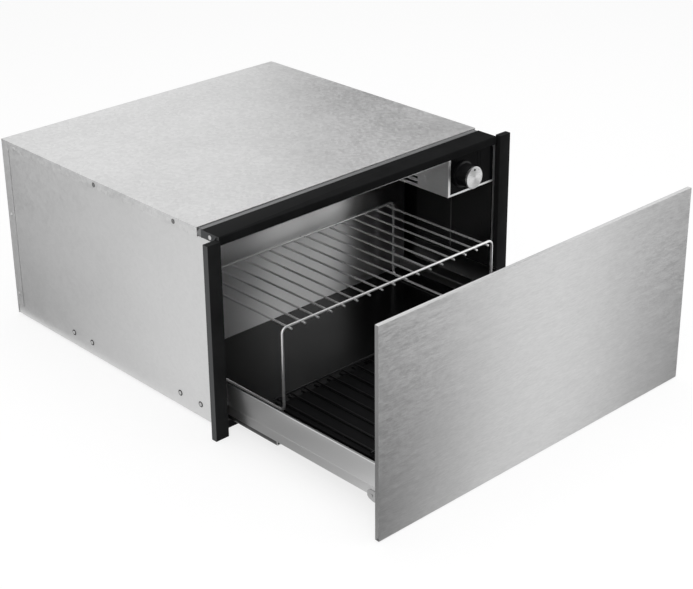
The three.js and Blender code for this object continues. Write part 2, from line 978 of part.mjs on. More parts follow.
// Fascia with the spindle's hole and two fine grooves.
const fasciaFront = boxFront + 0.2;
const fasciaBack = fasciaFront + fasciaThick;
const spindleHole = bar(
  [knobX, fasciaFront - 2, knobZ],
  [knobX, fasciaBack + 2, knobZ],
  spindleRadius + spindleClearance,
  32,
);
const grooves = [boxRight - 35.5, boxRight - 28.3].map((x) =>
  block(x - 0.3, x + 0.3, fasciaFront - 1, fasciaFront + 0.5, boxFoot + 32, fasciaTop - 0.6),
);
add(
  "control_fascia",
  cut(
    block(
      boxLeft + boxFlangeLeft + seat,
      boxRight - sheet - seat,
      fasciaFront,
      fasciaBack,
      boxFoot + boxFlangeFoot + seat,
      fasciaTop,
    ),
    [spindleHole, ...grooves],
  ),
  "blackGloss",
);

// Thermostat behind the fascia, with a blind bore for the spindle.
const thermostatFront = fasciaBack + seat;
const thermostat = cut(
  join([
    bar([knobX, thermostatFront, knobZ], [knobX, thermostatFront + 16, knobZ], 14, 32),
    block(knobX - 12, knobX + 12, thermostatFront + 8, thermostatFront + 26, knobZ - 20, knobZ + 10),
  ]),
  [
    bar(
      [knobX, thermostatFront - 2, knobZ],
      [knobX, thermostatFront + 12, knobZ],
      spindleRadius + spindleClearance,
      32,
    ),
  ],
);
add("thermostat", thermostat, "ceramic");

// Knob: black body on its spindle, brushed cap and a dark index mark.
const capBack = knobFront + knobCapThick;
const knobBack = fasciaFront - seat;
const knobProfile = [
  [0, capBack + seat],
  [knobRadius - 1.2, capBack + seat],
  [knobRadius - 0.4, capBack + 1.2],
  [knobRadius + 0.6, knobBack - 5],
  [knobRadius + 3, knobBack - 3.6],
  [knobRadius + 3, knobBack],
  [spindleRadius, knobBack],
  [spindleRadius, thermostatFront + 10],
  [0, thermostatFront + 10],
];
add("knob_body", turned(knobProfile, knobX, 0, knobZ, 48), "blackPlastic");
const markRadius = 1.6;
const markZ = knobZ + knobRadius - 4.5;
const capProfile = [
  [0, knobFront],
  [knobRadius - 0.7, knobFront],
  [knobRadius, knobFront + 0.7],
  [knobRadius, capBack],
  [0, capBack],
];
const markSeat = bar([knobX, knobFront - 1, markZ], [knobX, knobFront + 1.3, markZ], markRadius + seat, 20);
add("knob_cap", cut(turned(capProfile, knobX, 0, knobZ, 48), [markSeat]), "silver");
add(
  "knob_index",
  bar([knobX, knobFront + 0.1, markZ], [knobX, knobFront + 1, markZ], markRadius, 20),
  "blackPlastic",
);

// Fan: a drum of curved blades between end discs, on one shaft.
const fanBack = fanFront + fanLength;
const framePlate = 1.2;
const frameFront = fanFront - 4 - framePlate;
const frameBack = fanBack + 4;
const bladeOuter = fanRadius;
const bladeInner = fanRadius - 6;
const bladeThick = 0.9;
function bladeOutline(turn) {
  const inside = [];
  const outside = [];
  const steps = 4;
  for (let i = 0; i <= steps; i++) {
    const t = i / steps;
    const r = bladeInner + (bladeOuter - bladeInner) * t;
    const a = turn + 0.16 * Math.sin((Math.PI / 2) * t) + 0.1 * t * t;
    const spread = bladeThick / 2 / r;
    inside.push([fanX + r * Math.cos(a - spread), fanZ + r * Math.sin(a - spread)]);
    outside.unshift([fanX + r * Math.cos(a + spread), fanZ + r * Math.sin(a + spread)]);
  }
  return [...inside, ...outside];
}
const discSides = 44;
add(
  "fan_impeller",
  join([
    bar([fanX, fanFront, fanZ], [fanX, fanFront + 1.6, fanZ], fanRadius + 0.6, discSides),
    bar([fanX, fanBack - 1.6, fanZ], [fanX, fanBack, fanZ], fanRadius + 0.6, discSides),
    bar([fanX, frameFront - 3, fanZ], [fanX, frameBack + 14, fanZ], fanShaftRadius, 24),
    ...Array.from({ length: fanBlades }, (_, i) =>
      alongY(bladeOutline((2 * Math.PI * i) / fanBlades), fanFront + 0.8, fanBack - 0.8),
    ),
  ]),
  "silver",
);

// Fan frame: two plates on a foot, with a curved guide over the drum.
const frameFoot = boxFoot + sheet + seat;
const frameHalf = fanRadius + 4;
const frameOutline = roundedOutline(fanX - frameHalf, fanX + frameHalf, frameFoot, fanZ + frameHalf, 6, 3);
const frameRear = frameBack + framePlate;
const guide = Array.from({ length: 10 }, (_, i) => {
  const a = Math.PI * (0.08 + (0.62 * i) / 9);
  const r = fanRadius + 2.6;
  return [fanX + r * Math.cos(a), fanZ + r * Math.sin(a)];
});
const shaftHole = bar(
  [fanX, frameFront - 2, fanZ],
  [fanX, frameBack + framePlate + 2, fanZ],
  fanShaftRadius + spindleClearance,
  24,
);
add(
  "fan_frame",
  cut(
    join([
      alongY(frameOutline, frameFront, frameFront + framePlate),
      alongY(frameOutline, frameBack, frameBack + framePlate),
      alongY(folded(guide.reverse(), 1), frameFront + 0.6, frameBack + 0.6),
      block(fanX - frameHalf + 3, fanX + frameHalf - 3, frameFront, frameRear, frameFoot, frameFoot + 1),
    ]),
    [shaftHole],
  ),
  "galvanisedInner",
);

// Fan motor on the rear plate, with a blind bore for the shaft.
const motorFront = frameBack + framePlate + seat;
add(
  "fan_motor",
  cut(
    join([
      bar([fanX, motorFront, fanZ], [fanX, motorFront + 12, fanZ], 12, 32),
      block(fanX - 19, fanX + 19, motorFront + 4, motorFront + 30, fanZ - 19, fanZ + 19),
      bar([fanX, motorFront + 28, fanZ], [fanX, motorFront + 38, fanZ], 10, 32),
    ]),
    [
      bar(
        [fanX, motorFront - 2, fanZ],
        [fanX, frameBack + 16, fanZ],
        fanShaftRadius + spindleClearance,
        24,
      ),
    ],
  ),
  "zincSteel",
);

// Heating element: one sheathed tube bent back on itself, through the box's rear wall.
add(
  "heating_element",
  wire(
    [
      [elementX, boxBack + 14, elementLow],
      [elementX, 40, elementLow],
      [elementX, 40, elementHigh],
      [elementX, boxBack + 14, elementHigh],
    ],
    elementRadius,
    12,
    16,
    6,
  ),
  "sheath",
);

// Overheat cut-out on the box's rear wall, and the supply side of the wiring.
const cutoutBack = boxBack - sheet - seat;
const cutoutX = fanX + 8;
const cutoutZ = fanZ + 3;
add(
  "thermal_cutout",
  join([
    bar([cutoutX, cutoutBack - 7, cutoutZ], [cutoutX, cutoutBack, cutoutZ], 8, 28),
    block(cutoutX - 7.5, cutoutX - 4.5, cutoutBack - 13, cutoutBack - 6, cutoutZ - 3, cutoutZ + 3),
    block(cutoutX + 4.5, cutoutX + 7.5, cutoutBack - 13, cutoutBack - 6, cutoutZ - 3, cutoutZ + 3),
  ]),
  "ceramic",
);
const terminals = Array.from({ length: 3 }, (_, i) =>
  block(bushX - 17 + i * 12, bushX - 9 + i * 12, sideBack - 17, sideBack - 8, bushZ + 26, bushZ + 38),
);
add(
  "terminal_block",
  cut(block(bushX - 21, bushX + 19, sideBack - 16, sideBack, bushZ + 22, bushZ + 40), terminals),
  "ceramic",
);
const bushProfile = [
  [5, rearInner - 12],
  [bushRadius, rearInner - 12],
  [bushRadius, casingDepth + seat],
  [bushRadius + 2.5, casingDepth + seat],
  [bushRadius + 2.5, casingDepth + 2.2],
  [5, casingDepth + 2.2],
  [5, rearInner - 12],
];
add("cable_bush", turned(bushProfile, bushX, 0, bushZ, 28), "blackPlastic");

export default part;
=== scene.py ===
import math

import bmesh
import bpy
from mathutils import Matrix, Vector


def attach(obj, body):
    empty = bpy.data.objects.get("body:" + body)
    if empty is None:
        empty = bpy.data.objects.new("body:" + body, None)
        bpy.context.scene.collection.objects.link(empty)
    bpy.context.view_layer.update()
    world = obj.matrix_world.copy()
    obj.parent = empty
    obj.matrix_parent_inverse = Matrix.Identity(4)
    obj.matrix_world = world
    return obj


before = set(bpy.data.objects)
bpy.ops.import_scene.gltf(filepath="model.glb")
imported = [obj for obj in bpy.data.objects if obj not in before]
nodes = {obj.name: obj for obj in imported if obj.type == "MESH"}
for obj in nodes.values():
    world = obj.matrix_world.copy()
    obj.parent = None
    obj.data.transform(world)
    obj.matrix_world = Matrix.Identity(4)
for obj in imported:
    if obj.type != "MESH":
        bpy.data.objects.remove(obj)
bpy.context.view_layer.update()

MM_PER_M = 1000
CREASE = math.radians(35)  # faces that meet at more than this keep a sharp edge


def add_node(tree, kind, **inputs):
    """Adds a shader node to a tree and sets the inputs that are named."""
    node = tree.nodes.new(kind)
    for name, value in inputs.items():
        node.inputs[name.replace("_", " ")].default_value = value
    return node


# Materials ---------------------------------------------------------------------------------

# Sockets of a Mix node in its colour mode, whose names aren't unique.
MIX_FACTOR, MIX_A, MIX_B, MIX_RESULT = 0, 6, 7, 2
# A face counts as looking along an axis between these two parts of its normal.
FACING_NONE, FACING_FULL = 0.6, 0.8
# The same for a side wall: its normal's X times its place across the object.
SIDE_NONE, SIDE_FULL = 0.1, 0.2


class Look:
    """A Principled material whose varying values come from a few linked texture nodes."""

    def __init__(self, name, colour, rough, metal, **sockets):
        self.mat = bpy.data.materials.new(name)
        self.mat.use_nodes = True
        self.tree = self.mat.node_tree
        self.shader = self.tree.nodes["Principled BSDF"]
        self.put("Base Color", (*colour, 1))
        self.put("Roughness", rough)
        self.put("Metallic", metal)
        for key, value in sockets.items():
            self.put(key.replace("_", " "), value)
        self.coords = self.node("ShaderNodeTexCoord").outputs["Object"]

    def node(self, kind, **inputs):
        return add_node(self.tree, kind, **inputs)

    def put(self, socket, value):
        self.shader.inputs[socket].default_value = value

    def link(self, a, b):
        self.tree.links.new(a, b)

    def noise(self, scale, size=(1, 1, 1), detail=4, rough=0.55):
        stretched = self.node("ShaderNodeMapping", Scale=size)
        node = self.node("ShaderNodeTexNoise", Scale=scale, Detail=detail, Roughness=rough)
        self.link(self.coords, stretched.inputs["Vector"])
        self.link(stretched.outputs["Vector"], node.inputs["Vector"])
        return node.outputs["Fac"]

    def cells(self, scale):
        node = self.node("ShaderNodeTexVoronoi", Scale=scale)
        self.link(self.coords, node.inputs["Vector"])
        return node.outputs["Color"]

    def ranged(self, value, low, high, start=0.3, end=0.7):
        """Value's stretch from start to end, as low to high."""
        node = self.node("ShaderNodeMapRange", From_Min=start, From_Max=end,
                         To_Min=low, To_Max=high)
        self.link(value, node.inputs["Value"])
        return node.outputs["Result"]

    def maths(self, kind, a, b):
        node = self.node("ShaderNodeMath")
        node.operation = kind
        for i, value in enumerate((a, b)):
            if isinstance(value, (int, float)):
                node.inputs[i].default_value = value
            else:
                self.link(value, node.inputs[i])
        return node.outputs[0]

    def tint(self, fac, start, end):
        """Sets the colour to a mix, from start (a colour or an output) to end (a colour)."""
        node = self.node("ShaderNodeMix")
        node.data_type = "RGBA"
        if isinstance(start, tuple):
            node.inputs[MIX_A].default_value = (*start, 1)
        else:
            self.link(start, node.inputs[MIX_A])
        node.inputs[MIX_B].default_value = (*end, 1)
        self.link(fac, node.inputs[MIX_FACTOR])
        self.link(node.outputs[MIX_RESULT], self.shader.inputs["Base Color"])
        return node.outputs[MIX_RESULT]

    def split(self, vector):
        node = self.node("ShaderNodeSeparateXYZ")
        self.link(vector, node.inputs[0])
        return node.outputs

    def normal(self):
        return self.split(self.node("ShaderNodeTexCoord").outputs["Normal"])

    def facing(self, axis, kind):
        """1 on faces that look along the axis, 0 elsewhere.

        Kind is MAXIMUM for its positive way, MULTIPLY for its negative way, ABSOLUTE for both.
        """
        part = self.maths(kind, self.normal()[axis], -1)
        return self.ranged(part, 0, 1, FACING_NONE, FACING_FULL)

    def sideways(self, inward):
        """1 on side walls that look towards the object's middle, or away from it, 0 elsewhere."""
        product = self.maths("MULTIPLY", self.normal()["X"], self.split(self.coords)["X"])
        if inward:
            return self.ranged(product, 1, 0, -SIDE_FULL, -SIDE_NONE)
        return self.ranged(product, 0, 1, SIDE_NONE, SIDE_FULL)

    def rough(self, fac):
        self.link(fac, self.shader.inputs["Roughness"])

    def bump(self, height, distance):
        node = self.node("ShaderNodeBump", Distance=distance)
        self.link(height, node.inputs["Height"])
        self.link(node.outputs["Normal"], self.shader.inputs["Normal"])


def grey(level):
    return (level, level, level)


def shade(colour, factor):
    return tuple(min(1, c * factor) for c in colour)


def galvanised(name, colour, rough=0.42, grain=1.0, painted_inner_shade=None):
    """Zinc-coated sheet: small spangle cells, fine speckle and soft clouding.

    Painted inner shade is the share of the colour left on inward side faces: painted shade.
    """
    metal = 0.8
    spangle_scale, speck_scale, cloud_scale = 210, 1400, 7
    spangle_share, speck_share, cloud_share = 0.45, 0.35, 0.25
    darker, lighter = 0.14 * grain, 0.12 * grain
    smoother, rougher = 0.07, 0.08
    speck_height = 0.00003

    look = Look(name, colour, rough, metal)
    spangle = look.cells(spangle_scale)
    speck = look.noise(speck_scale, detail=2)
    cloud = look.noise(cloud_scale, detail=3)
    mixed = look.maths("ADD", look.ranged(spangle, 0, spangle_share, 0, 1),
                       look.ranged(speck, 0, speck_share))
    mixed = look.maths("ADD", mixed, look.ranged(cloud, 0, cloud_share))
    tone = look.tint(mixed, shade(colour, 1 - darker), shade(colour, 1 + lighter))
    # Painted shade: side faces that look inwards get a darker colour.
    if painted_inner_shade:
        look.tint(look.sideways(True), tone, shade(colour, painted_inner_shade))
    look.rough(look.ranged(mixed, rough - smoother, rough + rougher, 0.2, 0.9))
    look.bump(speck, speck_height)
    return look


def brushed(name, colour, rough, along, fine=1500, depth=0.00002, contrast=0.1, spread=0.0,
            smear=0.035, stretch=0.03, wear=1.0, painted_side_light=None, painted_under_shade=None,
            painted_upper_shade=None, painted_inner_shade=None):
    """Brushed metal: fine streaks along one axis (0 to 2), with soft smudges over them.

    Spread widens reflections upright, across level streaks. The painted side light and the
    painted under, upper and inner shades are the shares of the colour left on faces that look
    sideways, down, up, or inwards from either side: painted shade on those faces.
    """
    metal = 1.0
    streak_share, broad_share = 0.75, 0.25
    broader = 5
    smudge_scale = 9
    scratch_low, scratch_high = -0.04 * wear, 0.05 * wear
    across = 0.25 if spread else 0.0

    look = Look(name, colour, rough, metal, Anisotropic=spread, Anisotropic_Rotation=across)
    size = [1.0, 1.0, 1.0]
    size[along] = stretch
    streaks = look.noise(fine, size, detail=3, rough=0.7)
    broad = look.noise(fine / broader, size, detail=2)
    smudge = look.noise(smudge_scale, detail=3)
    mixed = look.maths("ADD", look.ranged(streaks, 0, streak_share),
                       look.ranged(broad, 0, broad_share))
    tone = look.tint(mixed, shade(colour, 1 - contrast), shade(colour, 1 + contrast))
    # Painted shade: faces that look sideways, inwards, up or down get a darker share of the
    # colour.
    if painted_side_light:
        tone = look.tint(look.facing("X", "ABSOLUTE"), tone, shade(colour, painted_side_light))
    if painted_inner_shade:
        tone = look.tint(look.sideways(True), tone, shade(colour, painted_inner_shade))
    if painted_upper_shade:
        tone = look.tint(look.facing("Z", "MAXIMUM"), tone, shade(colour, painted_upper_shade))
    if painted_under_shade:
        look.tint(look.facing("Z", "MULTIPLY"), tone, shade(colour, painted_under_shade))
    scratches = look.ranged(mixed, scratch_low, scratch_high)
    smudges = look.ranged(smudge, rough - smear, rough + smear)
    look.rough(look.maths("ADD", scratches, smudges))
    look.bump(streaks, depth)
    return look


def painted(name, colour, rough, grain=900, depth=0.00004, gloss=0.5, painted_side_light=None):
    """Powder coat or moulded plastic: fine orange-peel grain and slightly worn sheen.

    Painted side light is how much lighter the outer side faces are: painted light on them.
    """
    metal = 0.0
    wear_scale = 24
    darkest, lightest = 0.85, 1.25
    smoother, rougher = 0.05, 0.07

    look = Look(name, colour, rough, metal, Specular_IOR_Level=gloss)
    grainy = look.noise(grain, detail=2)
    wear = look.noise(wear_scale, detail=4)
    tone = look.tint(look.ranged(wear, 0, 1), shade(colour, darkest), shade(colour, lightest))
    # Painted light: outer side faces get a lighter colour.
    if painted_side_light:
        look.tint(look.sideways(False), tone, shade(colour, painted_side_light))
    look.rough(look.ranged(wear, rough - smoother, rough + rougher))
    look.bump(grainy, depth)
    return look


# The axes that the sheets are brushed along.
ACROSS, ALONG = 0, 1

galv_top = galvanised("galvanised_top", grey(0.69), 0.42, 1.5)
# The side panels' inner faces get painted shade.
galv_side = galvanised("galvanised_side", grey(0.69), 0.42, 0.5, painted_inner_shade=0.05)
galv_dull = galvanised("galvanised_dull", (0.33, 0.335, 0.34), 0.5)
# A darker copy of the galvanised sheet, as painted shade on the joint strip.
strip_zinc_shaded = galvanised("galvanised_strip_shaded", (0.23, 0.232, 0.235), 0.5)
# The panel's side faces get painted shade.
steel_panel = brushed("steel_panel", grey(0.69), 0.33, ACROSS, fine=800, stretch=0.14,
                      contrast=0.1, spread=0.6, smear=0.01, depth=0.000012, painted_side_light=0.35)
# A lighter copy of the drawer's steel, as painted light on the drawer's rear wall.
steel_wall_lit = brushed("steel_wall_lit", grey(0.96), 0.33, ACROSS, contrast=0.01, depth=0.0000001,
                     spread=1.0, smear=0.0, wear=0.05)
# A darker copy of the drawer's steel, as painted shade on the drawer's front wall.
steel_inner_shaded = brushed("steel_inner_shaded", grey(0.26), 0.3, ACROSS, contrast=0.03, depth=0.000004)
# The drawer pan and drawer rails get painted shade on faces that look down, up and inwards.
steel_pan = brushed("steel_pan", grey(0.70), 0.3, ALONG, contrast=0.02, depth=0.000001,
                    smear=0.005, wear=0.2, painted_under_shade=0.3, painted_upper_shade=0.4, painted_inner_shade=0.2)
steel_trim = brushed("steel_trim", grey(0.60), 0.3, ACROSS, contrast=0.06)
steel_box = brushed("steel_box", grey(0.94), 0.42, ALONG, contrast=0.05, depth=0.000008)
# These zinc parts get painted shade on faces that look down; the middle runners also on faces
# that look sideways.
zinc = brushed("zinc_steel", grey(0.50), 0.3, ALONG, contrast=0.08, painted_under_shade=0.15)
zinc_mid = brushed("zinc_mid", grey(0.50), 0.3, ALONG, contrast=0.08, painted_side_light=0.3,
                   painted_under_shade=0.15)
# A darker copy of the zinc steel, as painted shade on the cabinet rails and the panel backing.
zinc_shaded = brushed("zinc_shaded", grey(0.05), 0.45, ALONG, contrast=0.08)
silver = brushed("brushed_silver", grey(0.95), 0.3, ACROSS, fine=4000, contrast=0.03,
                 depth=0.000002)
fan_metal = brushed("fan_metal", (0.62, 0.63, 0.64), 0.32, ALONG, contrast=0.06)
sheath = brushed("heater_sheath", (0.17, 0.16, 0.15), 0.45, ALONG, contrast=0.2)
# The posts, bottom rail and top rail get painted light on their outer side faces.
black_satin = painted("black_satin", (0.0165, 0.0167, 0.017), 0.42, gloss=0.008, painted_side_light=6)
# A darker copy of the black satin paint, as painted shade on the top rail.
black_rail_shaded = painted("black_rail_shaded", (0.0105, 0.0107, 0.011), 0.42, gloss=0.008, painted_side_light=9)
black_plastic = painted("black_plastic", (0.006, 0.006, 0.0065), 0.38, grain=1600, gloss=0.2)
black_gloss = painted("black_gloss", (0.004, 0.004, 0.0045), 0.12, grain=300, depth=0.000005,
                      gloss=0.08)
# The liners' black enamel, here and in the next look, is partly their own colour and partly
# painted shade inside the casing.
black_enamel = painted("black_enamel", (0.008, 0.0082, 0.0085), 0.22, grain=200,
                       depth=0.00001, gloss=0.3)
liner_enamel_and_shade = painted("liner_enamel_and_shade", (0.010, 0.0102, 0.0106), 0.22, grain=200,
                       depth=0.00001, gloss=0.3)
floor_enamel = painted("floor_enamel", (0.0035, 0.0036, 0.0038), 0.18, grain=200,
                       depth=0.000002, gloss=0.12)
black_wire = painted("black_wire", (0.006, 0.006, 0.0065), 0.35, grain=1200, depth=0.00005,
                     gloss=0.3)
mat_rubber = painted("mat_rubber", (0.0048, 0.0048, 0.0052), 0.6, grain=700, depth=0.0001,
                     gloss=0.1)
ceramic = painted("ceramic", (0.66, 0.62, 0.54), 0.55)

# The knob's cap is turned, so its streaks run round the spindle's axis.
silver.put("Anisotropic", 0.8)
turned = silver.node("ShaderNodeTangent")
turned.direction_type = "RADIAL"
turned.axis = "Y"
silver.link(turned.outputs["Tangent"], silver.shader.inputs["Tangent"])

# The liners' front edges get a painted highlight: a thin lighter line.
EDGE_FULL_Y, EDGE_END_Y = 0.0435, 0.045
liner_tone = liner_enamel_and_shade.shader.inputs["Base Color"].links[0].from_socket
liner_edge_highlight = liner_enamel_and_shade.ranged(liner_enamel_and_shade.split(liner_enamel_and_shade.coords)["Y"], 1, 0,
                                 EDGE_FULL_Y, EDGE_END_Y)
liner_enamel_and_shade.tint(liner_edge_highlight, liner_tone, grey(0.12))

# The rack's wires are chrome with a slight, uneven haze.
CLEAREST, HAZIEST = 0.27, 0.32
chrome = Look("chrome", grey(0.95), 0.3, 0.75)
chrome.rough(chrome.ranged(chrome.noise(160, detail=3), CLEAREST, HAZIEST))

looks = {
    galv_top: ["top_panel"],
    galv_side: ["rear_panel", "left_side_panel", "right_side_panel"],
    galv_dull: ["base_panel", "fan_frame"],
    strip_zinc_shaded: ["joint_strip"],
    steel_panel: ["front_panel"],
    steel_wall_lit: ["drawer_rear_wall"],
    steel_inner_shaded: ["drawer_front_wall"],
    steel_pan: ["drawer_pan", "left_drawer_rail", "right_drawer_rail"],
    steel_trim: ["inner_trim"],
    steel_box: ["heater_box"],
    black_enamel: ["left_mouth_liner", "right_mouth_liner"],
    liner_enamel_and_shade: ["left_liner", "right_liner"],
    floor_enamel: ["floor_plate"],
    zinc: ["left_panel_bracket", "right_panel_bracket", "latch_striker", "fan_motor"],
    zinc_mid: ["left_mid_rail", "right_mid_rail"],
    zinc_shaded: ["left_cabinet_rail", "right_cabinet_rail", "panel_backing"],
    silver: ["knob_cap"],
    fan_metal: ["fan_impeller"],
    sheath: ["heating_element"],
    black_satin: ["left_post", "right_post", "bottom_rail"],
    black_rail_shaded: ["top_rail"],
    black_plastic: ["latch_housing", "latch_plunger", "knob_body", "knob_index", "cable_bush"],
    black_gloss: ["control_fascia"],
    black_wire: ["floor_grid"],
    mat_rubber: ["floor_mat"],
    ceramic: ["thermostat", "thermal_cutout", "terminal_block"],
    chrome: ["wire_rack"],
}
# Round pieces keep their edges as they are; the others get a fine bevel.
ROUND = {"wire_rack", "floor_grid", "knob_body", "knob_cap", "knob_index", "latch_plunger",
         "heating_element", "cable_bush", "fan_impeller", "thermostat", "fan_motor",
         "thermal_cutout"}
BEVEL_WIDTH = 0.00025
BEVEL_ANGLE = math.radians(40)
WELD_DISTANCE = 0.000002


def smooth(obj):
    for face in obj.data.polygons:
        face.use_smooth = True


def dress(obj, look, bevelled):
    """Gives an object its material, fine rounded edges and smooth round faces."""
    obj.data.materials.clear()
    obj.data.materials.append(look.mat)
    with bpy.context.temp_override(object=obj, active_object=obj, selected_objects=[obj]):
        bpy.ops.mesh.customdata_custom_splitnormals_clear()
    smooth(obj)
    weld = obj.modifiers.new("weld", "WELD")
    weld.merge_threshold = WELD_DISTANCE
    if bevelled:
        edge = obj.modifiers.new("edges", "BEVEL")
        edge.width = BEVEL_WIDTH
        edge.segments = 2
        edge.limit_method = "ANGLE"
        edge.angle_limit = BEVEL_ANGLE
        edge.harden_normals = True
    split = obj.modifiers.new("split", "EDGE_SPLIT")
    split.split_angle = CREASE
    split.use_edge_sharp = False


for look, names in looks.items():
    for name in names:
        dress(nodes[name], look, name not in ROUND)


# Small fittings ----------------------------------------------------------------------------

# Profiles from the rim to the middle: [radius, height above the face], in mm.
HEAD = [[2.7, -0.3], [2.7, 0.55], [2.2, 1.0], [1.6, 1.25], [1.3, 1.3], [0.9, 0.6], [0, 0.5]]
WASHER = [[4.4, -0.3], [4.4, 0.2], [4.0, 0.4], [2.4, 0.4]]
BAND_WASHER = [[3.5, -0.3], [3.5, 0.2], [3.1, 0.4], [2.4, 0.4]]
RIVET = [[3.2, -0.3], [3.2, 0.3], [2.5, 0.9], [1.2, 1.2], [0, 1.25]]
SIDES = 20

# Where the fittings sit, in mm.
CASING_HALF = 266.0
PANEL_FACE = 264.8
BAND_Z, BAND_YS = 281, (431, 230, 50)
REAR_Y, REAR_ZS = 457.5, (168, 35)
RUNNER_Z, RUNNER_YS = 20, (313, 267, 57, 12)
RIVET_SPOT = (-CASING_HALF, -27, 281.5)

screw_zinc = brushed("screw_zinc", grey(0.60), 0.35, ALONG, contrast=0.08, depth=0.000005)
screw_dark = brushed("screw_dark", grey(0.22), 0.4, ALONG, contrast=0.08, depth=0.000005)
washer_dark = painted("washer_dark", grey(0.03), 0.5, gloss=0.2)
washer_mid = painted("washer_mid", grey(0.11), 0.5, gloss=0.2)


def turned_mesh(name, profile, spots, normal):
    """One mesh of turned pieces, one at each spot, that stand along the normal."""
    bm = bmesh.new()
    turn = Vector((0, 0, 1)).rotation_difference(Vector(normal)).to_matrix().to_4x4()
    for spot in spots:
        place = Matrix.Translation(Vector(spot) / MM_PER_M) @ turn
        rings = []
        for radius, height in profile:
            if radius == 0:
                rings.append([bm.verts.new(place @ Vector((0, 0, height / MM_PER_M)))])
                continue
            ring = []
            for i in range(SIDES):
                a = 2 * math.pi * i / SIDES
                point = Vector((radius * math.cos(a), radius * math.sin(a), height)) / MM_PER_M
                ring.append(bm.verts.new(place @ point))
            rings.append(ring)
        for low, high in zip(rings, rings[1:]):
            for i in range(SIDES):
                j = (i + 1) % SIDES
                corners = [low[i % len(low)], low[j % len(low)],
                           high[j % len(high)], high[i % len(high)]]
                bm.faces.new(list(dict.fromkeys(corners)))
    mesh = bpy.data.meshes.new(name)
    bm.to_mesh(mesh)
    bm.free()
    return mesh


def fitting(name, profile, spots, normal, look, body="casing"):
    obj = bpy.data.objects.new(name, turned_mesh(name, profile, spots, normal))
    bpy.context.scene.collection.objects.link(obj)
    obj.data.materials.append(look.mat)
    smooth(obj)
    split = obj.modifiers.new("split", "EDGE_SPLIT")
    split.split_angle = CREASE
    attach(obj, body)


for side, label in ((-1, "left"), (1, "right")):
    normal = (side, 0, 0)
    band = [(side * CASING_HALF, y, BAND_Z) for y in BAND_YS]
    rear = [(side * CASING_HALF, REAR_Y, z) for z in REAR_ZS]
    runner = [(side * PANEL_FACE, y, RUNNER_Z) for y in RUNNER_YS]
    fitting(label + "_side_screws", HEAD, band[:1] + rear + runner, normal, screw_zinc)
    fitting(label + "_band_screws", HEAD, band[1:], normal, screw_dark)
    fitting(label + "_runner_washers", WASHER, runner, normal, washer_dark)
    fitting(label + "_band_washers", BAND_WASHER, band[1:], normal, washer_mid)
fitting("rail_rivets", RIVET, [RIVET_SPOT], (-1, 0, 0), screw_zinc)


# Stage, light and camera -------------------------------------------------------------------

FLOOR_SIZE, FLOOR_Z = 14, -0.0035
FLOOR_COLOUR = (0.9, 0.9, 0.9, 1)
# The share of the floor that glows, for the camera and for reflections, and how strongly.
FLOOR_GLOW, GLOW_STRENGTH = 0.72, 1.07
# The world's strength for diffuse light, and for the camera, reflections and transmission.
WORLD_DIM, WORLD_WHITE = 0.55, 1.0


def plane(name, size, place, turn=(0, 0, 0)):
    mesh = bpy.data.meshes.new(name)
    s = size / 2
    mesh.from_pydata([(-s, -s, 0), (s, -s, 0), (s, s, 0), (-s, s, 0)], [], [(0, 1, 2, 3)])
    obj = bpy.data.objects.new(name, mesh)
    obj.location = place
    obj.rotation_euler = turn
    bpy.context.scene.collection.objects.link(obj)
    return obj


def stage_look(obj, name):
    """Gives a stage piece an empty material; returns its tree and its surface socket."""
    look = bpy.data.materials.new(name)
    look.use_nodes = True
    look.node_tree.nodes.clear()
    obj.data.materials.append(look)
    out = add_node(look.node_tree, "ShaderNodeOutputMaterial")
    return look.node_tree, out.inputs["Surface"]


def maths_node(tree, kind):
    node = add_node(tree, "ShaderNodeMath")
    node.operation = kind
    return node


tree, surface = stage_look(plane("floor", FLOOR_SIZE, (0, 0, FLOOR_Z)), "floor")
mix = add_node(tree, "ShaderNodeMixShader")
white = add_node(tree, "ShaderNodeEmission", Strength=GLOW_STRENGTH)
diffuse = add_node(tree, "ShaderNodeBsdfDiffuse", Color=FLOOR_COLOUR)
path = add_node(tree, "ShaderNodeLightPath")
seen = maths_node(tree, "MAXIMUM")
share = maths_node(tree, "MULTIPLY")
share.inputs[1].default_value = FLOOR_GLOW
tree.links.new(path.outputs["Is Camera Ray"], seen.inputs[0])
tree.links.new(path.outputs["Is Glossy Ray"], seen.inputs[1])
tree.links.new(seen.outputs[0], share.inputs[0])
tree.links.new(share.outputs[0], mix.inputs["Fac"])
tree.links.new(diffuse.outputs[0], mix.inputs[1])
tree.links.new(white.outputs[0], mix.inputs[2])
tree.links.new(mix.outputs[0], surface)

world = bpy.data.worlds.new("studio")
bpy.context.scene.world = world
world.use_nodes = True
tree = world.node_tree
back = tree.nodes["Background"]
back.inputs["Color"].default_value = (1, 1, 1, 1)
path = add_node(tree, "ShaderNodeLightPath")
mirrored_or_seen = maths_node(tree, "MAXIMUM")
white_rays = maths_node(tree, "MAXIMUM")
strength = add_node(tree, "ShaderNodeMapRange", To_Min=WORLD_DIM, To_Max=WORLD_WHITE)
tree.links.new(path.outputs["Is Camera Ray"], mirrored_or_seen.inputs[0])
tree.links.new(path.outputs["Is Glossy Ray"], mirrored_or_seen.inputs[1])
tree.links.new(mirrored_or_seen.outputs[0], white_rays.inputs[0])
tree.links.new(path.outputs["Is Transmission Ray"], white_rays.inputs[1])
tree.links.new(white_rays.outputs[0], strength.inputs["Value"])
tree.links.new(strength.outputs["Result"], back.inputs["Strength"])


